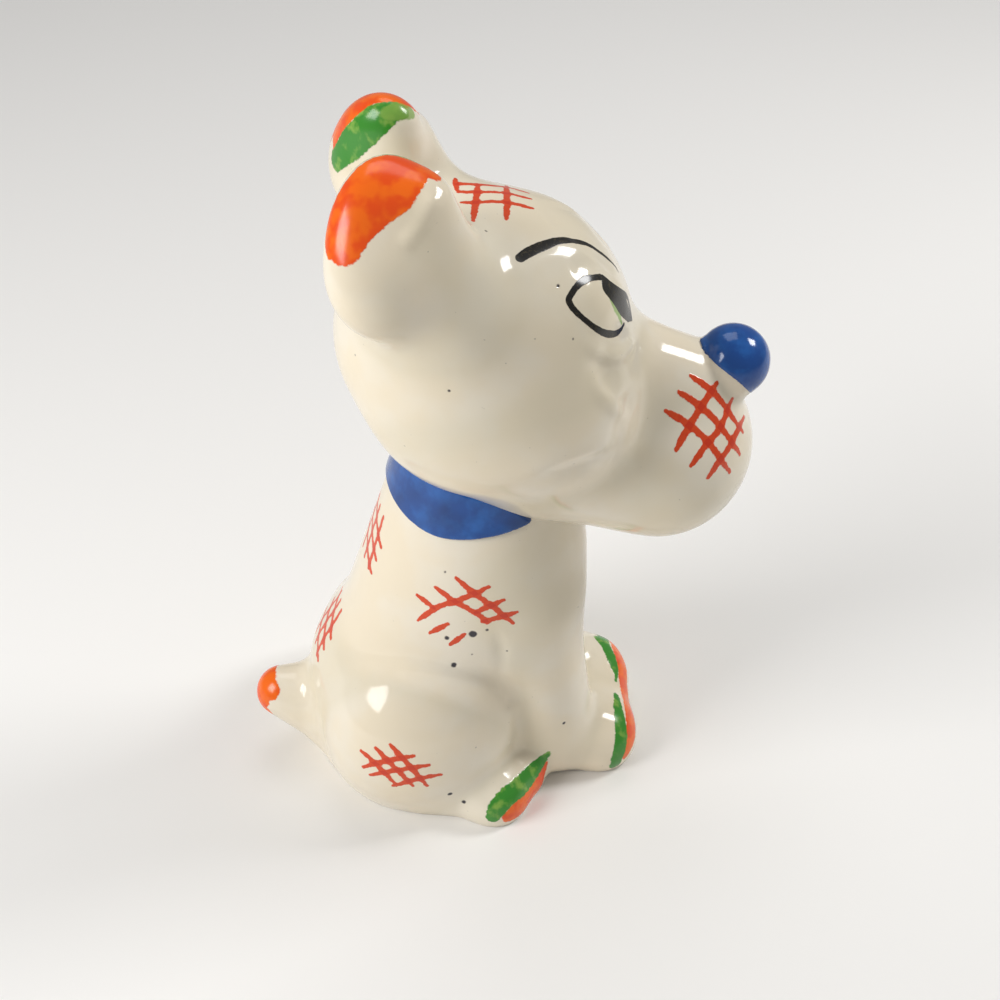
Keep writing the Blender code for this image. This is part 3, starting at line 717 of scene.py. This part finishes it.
def covered(name, mesh, facet):
    """An even cover over a rough mesh."""
    rough = new_object(name, mesh)
    cover = rough.modifiers.new("cover", "REMESH")
    cover.mode = "VOXEL"
    cover.voxel_size = facet * MM
    even = rough.modifiers.new("even", "SMOOTH")
    even.factor = EVEN_FACTOR
    even.iterations = EVEN_STEPS
    return baked(rough)


def skin(name, masses, distance, facet=COVER_FACET):
    bm = bmesh.new()
    for mass in masses:
        if isinstance(mass, Ball):
            add_ball(bm, mass.centre, mass.radii, mass.turn)
        else:
            add_limb(bm, mass)
    mesh = covered(name, mesh_from(bm, name), facet)
    set_points(mesh, drawn_on(mesh_points(mesh), distance))
    return mesh


def refined(mesh, strokes, distance, reach):
    """The mesh with its edges near the strokes halved."""
    near = inside(mesh_points(mesh), strokes) > -reach
    bm = bmesh.new()
    bm.from_mesh(mesh)
    bm.verts.ensure_lookup_table()
    edges = [edge for edge in bm.edges if near[edge.verts[0].index] and near[edge.verts[1].index]]
    bmesh.ops.subdivide_edges(bm, edges=edges, cuts=1, use_grid_fill=True)
    bmesh.ops.triangulate(bm, faces=[face for face in bm.faces if len(face.verts) > 4])
    mesh = mesh_from(bm, mesh.name)
    set_points(mesh, drawn_on(mesh_points(mesh), distance))
    return mesh


def add_values(mesh, name, values):
    attribute = mesh.attributes.new(name, "FLOAT", "POINT")
    attribute.data.foreach_set("value", values.astype(np.float32))


def finished(name, mesh, material, nodes):
    mesh.name = name
    mesh.materials.clear()
    mesh.materials.append(material)
    mesh.shade_smooth()
    piece = new_object(name, mesh)
    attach(piece, "root")
    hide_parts(*nodes)


def cut_away(bm, planes):
    """Cuts off what lies beyond each plane, given by a point on it and the way it faces."""
    for point, outward in planes:
        everything = bm.verts[:] + bm.edges[:] + bm.faces[:]
        bmesh.ops.bisect_plane(
            bm, geom=everything, plane_co=Vector(point) * MM, plane_no=outward, clear_outer=True
        )


def drain_circle(bm, height, filled):
    """The edges of a circle round the drain hole's axis."""
    place = Matrix.Translation((Vector(DRAIN_PLACE) + Vector((0.0, 0.0, height))) * MM)
    made = bmesh.ops.create_circle(
        bm, cap_ends=filled, segments=DRAIN_SEGMENTS, radius=DRAIN_RADIUS * MM, matrix=place
    )
    ring = set(made["verts"])
    return [edge for edge in bm.edges if edge.verts[0] in ring]


def on_ground(mesh):
    """The mesh cut flat where it stands, its foot closed round a drain hole."""
    bm = bmesh.new()
    bm.from_mesh(mesh)
    cut_away(bm, [((0.0, 0.0, 0.0), (0.0, 0.0, -1.0))])
    rim = [edge for edge in bm.edges if edge.is_boundary]
    lip = drain_circle(bm, 0.0, False)
    bmesh.ops.triangle_fill(bm, edges=rim + lip, use_beauty=True, normal=(0, 0, -1))
    top = drain_circle(bm, DRAIN_DEPTH, True)
    bmesh.ops.bridge_loops(bm, edges=lip + top)
    bmesh.ops.recalc_face_normals(bm, faces=bm.faces)
    return mesh_from(bm, mesh.name)


# Materials
class Value:
    """A socket that takes part in sums."""

    def __init__(self, recipe, socket):
        self.recipe = recipe
        self.socket = socket

    def sum(self, operation, *terms):
        return self.recipe.node("ShaderNodeMath", {"operation": operation}, dict(enumerate(terms)))

    def __add__(self, other):
        return self.sum("ADD", self, other)

    def __radd__(self, other):
        return self.sum("ADD", other, self)

    def __sub__(self, other):
        return self.sum("SUBTRACT", self, other)

    def __rsub__(self, other):
        return self.sum("SUBTRACT", other, self)

    def __mul__(self, other):
        return self.sum("MULTIPLY", self, other)

    def __rmul__(self, other):
        return self.sum("MULTIPLY", other, self)

    def larger(self, other):
        return self.sum("MAXIMUM", self, other)

    def size(self):
        return self.sum("ABSOLUTE", self)


class Recipe:
    """One finish: its material, and the nodes that it is mixed from."""

    def __init__(self, name):
        self.material = bpy.data.materials.new(name)
        self.material.use_nodes = True
        self.tree = self.material.node_tree
        self.shader = self.tree.nodes["Principled BSDF"]
        self.place = self.node("ShaderNodeTexCoord", {}, {}, "Object")

    def feed(self, socket, value):
        if isinstance(value, Value):
            self.tree.links.new(value.socket, socket)
        elif isinstance(value, (tuple, list)) and len(value) == 3 and socket.type == "RGBA":
            socket.default_value = (*value, 1.0)
        else:
            socket.default_value = value

    def node(self, kind, settings, sockets, output=0):
        made = self.tree.nodes.new(kind)
        for key, value in settings.items():
            setattr(made, key, value)
        for key, value in sockets.items():
            self.feed(made.inputs[key], value)
        return Value(self, made.outputs[output])

    def mix(self, share, first, second):
        return self.node(
            "ShaderNodeMix", {"data_type": "RGBA"}, {0: share, 6: first, 7: second}, 2
        )

    def noise(self, size, detail=2.0, roughness=0.5):
        """Noise whose lumps are about size millimetres across."""
        return self.node(
            "ShaderNodeTexNoise",
            {},
            {
                "Vector": self.place,
                "Scale": 1.0 / (size * MM),
                "Detail": detail,
                "Roughness": roughness,
            },
            "Fac",
        )

    def step(self, value, low, high):
        return self.node(
            "ShaderNodeMapRange",
            {"interpolation_type": "SMOOTHSTEP"},
            {"Value": value, "From Min": low, "From Max": high},
        )

    def kept(self, name):
        """A value that dress() keeps on the mesh."""
        return self.node("ShaderNodeAttribute", {"attribute_name": name}, {}, "Fac")

    def painted(self, name, wobble):
        """Where a paint lies, its edge wandering by its own share of the wobble."""
        share, low, high = PAINT_EDGES[name]
        return self.step(self.kept(name) + wobble * share, low, high)

    def height(self):
        """How high a point is above the ground, in millimetres."""
        return self.node("ShaderNodeSeparateXYZ", {}, {"Vector": self.place}, "Z") * (1.0 / MM)

    def finish(self, colour, roughness, relief):
        self.feed(self.shader.inputs["Base Color"], colour)
        self.feed(self.shader.inputs["Roughness"], roughness)
        bump = self.node(
            "ShaderNodeBump", {}, {"Height": relief, "Distance": BUMP_DEPTH * MM, "Strength": 1.0}
        )
        self.feed(self.shader.inputs["Normal"], bump)
        return self.material


IVORY_PALE = (0.88, 0.805, 0.665)
IVORY_WARM = (0.87, 0.765, 0.585)
GLAZE_POOL = (0.70, 0.63, 0.46)
BISQUE = (0.72, 0.66, 0.56)
RED = (0.72, 0.066, 0.012)
RED_DEEP = (0.62, 0.032, 0.006)
BLACK = (0.010, 0.009, 0.007)
BLACK_THIN = (0.075, 0.060, 0.028)
GREEN = (0.044, 0.265, 0.026)
GREEN_THIN = (0.23, 0.43, 0.07)
ORANGE = (0.94, 0.150, 0.004)
ORANGE_DEEP = (0.85, 0.080, 0.004)
SPECK_COLOUR = (0.035, 0.032, 0.040)
COBALT = (0.010, 0.070, 0.290)
COBALT_THIN = (0.022, 0.150, 0.500)
COBALT_DEEP = (0.006, 0.026, 0.110)

# How far a painted edge wanders, and from how far two wet strokes run together, in millimetres
EDGE_WOBBLE = 0.34
RUN_TOGETHER = 0.4
# The share of the wobble that a paint takes, and the depths between which it comes in
PAINT_EDGES = {
    "orange": (1.6, -0.08, 0.12),
    "green": (1.4, -0.06, 0.12),
    "glint": (1.0, -0.1, 0.15),
    "black": (0.35, -0.03, 0.04),
    "speck": (0.6, -0.08, 0.12),
}
RED_EDGE = (-0.05, 0.07)
# The heights between which the glaze ends above the bare foot
FOOT_EDGE = (0.05, 0.35)
GLAZE_ROUGHNESS = 0.09
PAINT_ROUGHNESS = 0.10
FOOT_ROUGHNESS = 0.6
# Relief, as shares of the bump's depth in millimetres
BUMP_DEPTH = 0.1
PAINT_RELIEF = 0.30
GLAZE_RELIEF = 0.6
SPECK_RELIEF = 0.4
FOOT_RELIEF = 0.6


def porcelain():
    """Ivory glaze over white ware, with the painting under a thin gloss."""
    mix = Recipe("painted_ivory_glaze")
    cloud = mix.noise(9.0, 3.0)
    colour = mix.mix(mix.step(cloud, 0.35, 0.65), IVORY_PALE, IVORY_WARM)
    pool = mix.step(mix.kept("pool"), 0.05, 1.1) * 0.4
    colour = mix.mix(pool, colour, GLAZE_POOL)
    pepper = mix.noise(0.55, 1.0)
    colour = mix.mix(mix.step(pepper, 0.78, 0.86) * 0.35, colour, SPECK_COLOUR)

    wobble = (mix.noise(0.5, 2.0) - 0.5) * EDGE_WOBBLE
    streaks = mix.noise(0.35, 3.0, 0.6)
    orange = mix.painted("orange", wobble)
    orange_tone = mix.mix(mix.step(mix.noise(2.2), 0.4, 0.62), ORANGE, ORANGE_DEEP)
    colour = mix.mix(orange, colour, orange_tone)
    green = mix.painted("green", wobble)
    green_tone = mix.mix(mix.step(mix.noise(1.6, 3.0), 0.5, 0.72), GREEN, GREEN_THIN)
    colour = mix.mix(green, colour, green_tone)
    colour = mix.mix(mix.painted("glint", wobble) * 0.8, colour, GREEN_THIN)
    down, up = mix.kept("red_one"), mix.kept("red_two")
    crossing = (RUN_TOGETHER - (down - up).size()).larger(0.0)
    joined = crossing * crossing * (0.25 / RUN_TOGETHER)
    red = mix.step(down.larger(up) + joined + wobble, *RED_EDGE)
    twice = mix.step(down + wobble, *RED_EDGE) * mix.step(up + wobble, *RED_EDGE)
    red_tone = mix.mix((twice * 0.8).larger(mix.step(streaks, 0.45, 0.75) * 0.5), RED, RED_DEEP)
    colour = mix.mix(red, colour, red_tone)
    black = mix.painted("black", wobble)
    black_tone = mix.mix(mix.step(streaks, 0.5, 0.8), BLACK, BLACK_THIN)
    colour = mix.mix(black, colour, black_tone)
    speck = mix.painted("speck", wobble)
    colour = mix.mix(speck, colour, SPECK_COLOUR)
    foot = 1.0 - mix.step(mix.height() + wobble, *FOOT_EDGE)
    colour = mix.mix(foot, colour, BISQUE)

    paint = red.larger(black).larger(green).larger(orange)
    roughness = GLAZE_ROUGHNESS + paint * PAINT_ROUGHNESS + foot * FOOT_ROUGHNESS
    roughness = roughness + mix.noise(3.0) * 0.04
    relief = paint * PAINT_RELIEF + mix.noise(5.0) * GLAZE_RELIEF - speck * SPECK_RELIEF
    relief = relief + foot * mix.noise(0.3) * FOOT_RELIEF
    return mix.finish(colour, roughness, relief)


def cobalt():
    mix = Recipe("cobalt_glaze")
    wash = mix.noise(2.4, 3.0, 0.55)
    colour = mix.mix(mix.step(wash, 0.38, 0.72) * 0.6, COBALT, COBALT_THIN)
    colour = mix.mix(mix.step(mix.noise(6.0, 2.0), 0.45, 0.75) * 0.6, colour, COBALT_DEEP)
    roughness = 0.10 + mix.noise(1.0) * 0.06
    relief = mix.noise(1.5, 2.0) * 0.5
    return mix.finish(colour, roughness, relief)


# Pieces
def dress(mesh, painting, masses):
    """Keeps the painting and the pooling on the mesh."""
    points = mesh_points(mesh)
    for name in PAINTS:
        add_values(mesh, name, inside(points, painting.get(name, [])))
    add_values(mesh, "pool", crease_fill(points, masses))


# How far from a stroke the mesh is made finer, once for all paint and again for fine lines
WIDE_REACH = 0.5
FINE_REACH = 0.35


def painted_skin(name, masses, carvings, painting, distance):
    """A skin that is finer near its carvings and its paint."""
    mesh = skin(name, masses, distance)
    strokes = [stroke for paint in painting for stroke in painting[paint]]
    strokes += [(cut.path, np.full(len(cut.path), cut.reach)) for cut in carvings]
    mesh = refined(mesh, strokes, distance, WIDE_REACH)
    fine = [stroke for paint in FINE_PAINTS for stroke in painting.get(paint, [])]
    return refined(mesh, fine, distance, FINE_REACH)


def make_head(material):
    painting = painted_head()
    masses = HEAD_MASSES + NOSE_MASSES + HEAD_FILLING
    mesh = painted_skin("head", masses, HEAD_CARVINGS, painting, head_distance)
    dress(mesh, painting, HEAD_MASSES)
    finished("head_glaze", mesh, material, ["head_shell", "ear_right", "ear_left"])


def make_body(material):
    painting = painted_body()
    masses = BODY_MASSES + BODY_FILLING
    mesh = on_ground(painted_skin("body", masses, BODY_CARVINGS, painting, body_distance))
    dress(mesh, painting, BODY_MASSES)
    nodes = ["body_shell", "tail"]
    for limb in ("foreleg", "haunch", "hind_paw"):
        nodes += [limb + "_right", limb + "_left"]
    finished("body_glaze", mesh, material, nodes)


def soft_cut(total, others, edge):
    """The distance to what is inside all of the distances, its edges rounded."""
    for other in others:
        total = -melted(-total, -other, edge)
    return total


def nose_distance(points):
    return soft_cut(
        head_form(points) - GLAZE_LAYER, [-ahead_of_nose_edge(points)], NOSE_EDGE_SOFTNESS
    )


def make_nose(material):
    bm = bmesh.new()
    bm.from_mesh(skin("nose", NOSE_MASSES, nose_form, FINE_FACET))
    back = Vector(NOSE_EDGE_FACING)
    cut_away(bm, [(back * NOSE_EDGE_PLACE, -back)])
    bmesh.ops.holes_fill(bm, edges=[edge for edge in bm.edges if edge.is_boundary])
    mesh = covered("nose", mesh_from(bm, "nose"), FINE_FACET)
    set_points(mesh, drawn_on(mesh_points(mesh), nose_distance))
    finished("nose_glaze", mesh, material, ["nose"])


# Collar: how far it stands out and reaches in, and how its lower and upper edge run
COLLAR_RELIEF = 0.45
COLLAR_BACKING = 0.5
COLLAR_BEND = -7.8
COLLAR_BEND_RUN = 2.5
COLLAR_LOW = 40.5
COLLAR_LOW_SLOPE = 0.15
COLLAR_BACK_RISE = 0.055
COLLAR_HIGH = 46.6
COLLAR_HIGH_FROM = -5.0
COLLAR_HIGH_FALL = 0.078
COLLAR_TOP = 50.5
COLLAR_TIP = (3.4, 0.0, 41.4)
COLLAR_TIP_FACING = (0.69, 0.0, 0.72)
COLLAR_BACK_SLOPE = 0.29
COLLAR_EDGE = 0.45


def collar_distance(points):
    """A low band that follows the body's skin, its lower edge bowed and its front end pointed."""
    across, _, high = points.T
    ahead = np.maximum(across - COLLAR_BEND, 0.0)
    ahead = ahead**2 / (ahead + COLLAR_BEND_RUN)
    behind = np.maximum(COLLAR_BEND - across, 0.0)
    low_edge = COLLAR_LOW + COLLAR_LOW_SLOPE * ahead + COLLAR_BACK_RISE * behind**2
    fore = np.maximum(across - COLLAR_HIGH_FROM, 0.0)
    high_edge = COLLAR_HIGH - COLLAR_HIGH_FALL * fore**2
    above = (high - high_edge) / np.sqrt(1.0 + (2.0 * COLLAR_HIGH_FALL * fore) ** 2)
    above = np.where(across > COLLAR_HIGH_FROM, above, high - COLLAR_TOP)
    skin_gap = body_distance(points)
    return soft_cut(
        skin_gap - COLLAR_RELIEF,
        [low_edge - high, above, -(skin_gap + COLLAR_BACKING)],
        COLLAR_EDGE,
    )


def collar_middle(points):
    return body_distance(points) - COLLAR_RELIEF * 0.5


def make_collar(material):
    bm = bmesh.new()
    bm.from_mesh(skin("collar", BODY_MASSES[:1], collar_middle))
    bend = (COLLAR_BEND, 0.0, COLLAR_LOW)
    cut_away(
        bm,
        [
            (bend, (COLLAR_LOW_SLOPE, 0.0, -1.0)),
            (bend, (-COLLAR_BACK_SLOPE, 0.0, -1.0)),
            (COLLAR_TIP, COLLAR_TIP_FACING),
            ((0.0, 0.0, COLLAR_TOP), (0.0, 0.0, 1.0)),
        ],
    )
    band = new_object("band", mesh_from(bm, "band"))
    wall = band.modifiers.new("wall", "SOLIDIFY")
    wall.thickness = (COLLAR_RELIEF + COLLAR_BACKING) * MM
    wall.offset = 0.0
    mesh = covered("collar", baked(band), FINE_FACET)
    set_points(mesh, drawn_on(mesh_points(mesh), collar_distance))
    finished("collar_glaze", mesh, material, ["collar"])


# Floor, lights and camera
FLOOR_COLOUR = (0.90, 0.885, 0.86)
FLOOR_ROUGHNESS = 0.6
FLOOR_HALF_WIDTH = 3000.0
WORLD_LIGHT = 0.28
CAMERA_NEAR = 10.0
# Lamps: name, place, width and power in watts
LAMPS = (
    ("window_left", (-260.0, -100.0, 210.0), 160.0, 0.70),
    ("lamp_right", (250.0, 60.0, 250.0), 90.0, 0.50),
    ("lamp_top", (0.0, 160.0, 380.0), 200.0, 0.24),
)


def make_stage():
    bm = bmesh.new()
    bmesh.ops.create_grid(bm, x_segments=2, y_segments=2, size=FLOOR_HALF_WIDTH * MM)
    floor = new_object("floor", mesh_from(bm, "floor"))
    surface = Recipe("pale_floor")
    surface.feed(surface.shader.inputs["Base Color"], FLOOR_COLOUR)
    surface.feed(surface.shader.inputs["Roughness"], FLOOR_ROUGHNESS)
    floor.data.materials.append(surface.material)

    world = bpy.data.worlds.new("studio")
    bpy.context.scene.world = world
    world.use_nodes = True
    sky = world.node_tree.nodes["Background"]
    sky.inputs["Color"].default_value = (1.0, 1.0, 1.0, 1.0)
    sky.inputs["Strength"].default_value = WORLD_LIGHT


def make_lights():
    for name, place, size, power in LAMPS:
        lamp = bpy.data.lights.new(name, "AREA")
        lamp.shape = "SQUARE"
        lamp.size = size * MM
        lamp.energy = power
        thing = new_object(name, lamp)
        thing.location = Vector(place) * MM
        thing.rotation_euler = (Vector(place) - Vector(AIM)).to_track_quat("Z", "Y").to_euler()


def make_camera():
    lens = bpy.data.cameras.new("camera")
    lens.sensor_width = SENSOR_WIDTH
    lens.lens = FOCAL_PIXELS / IMAGE_SIZE * SENSOR_WIDTH
    lens.clip_start = CAMERA_NEAR * MM
    camera = new_object("camera", lens)
    camera.location = Vector(CAMERA_PLACE) * MM
    camera.rotation_euler = Vector(CAMERA_BACK).to_track_quat("Z", "Y").to_euler()
    bpy.context.scene.camera = camera


bpy.context.scene.view_settings.view_transform = "Standard"
ivory_glaze = porcelain()
cobalt_glaze = cobalt()
make_head(ivory_glaze)
make_body(ivory_glaze)
make_nose(cobalt_glaze)
make_collar(cobalt_glaze)
make_stage()
make_lights()
make_camera()
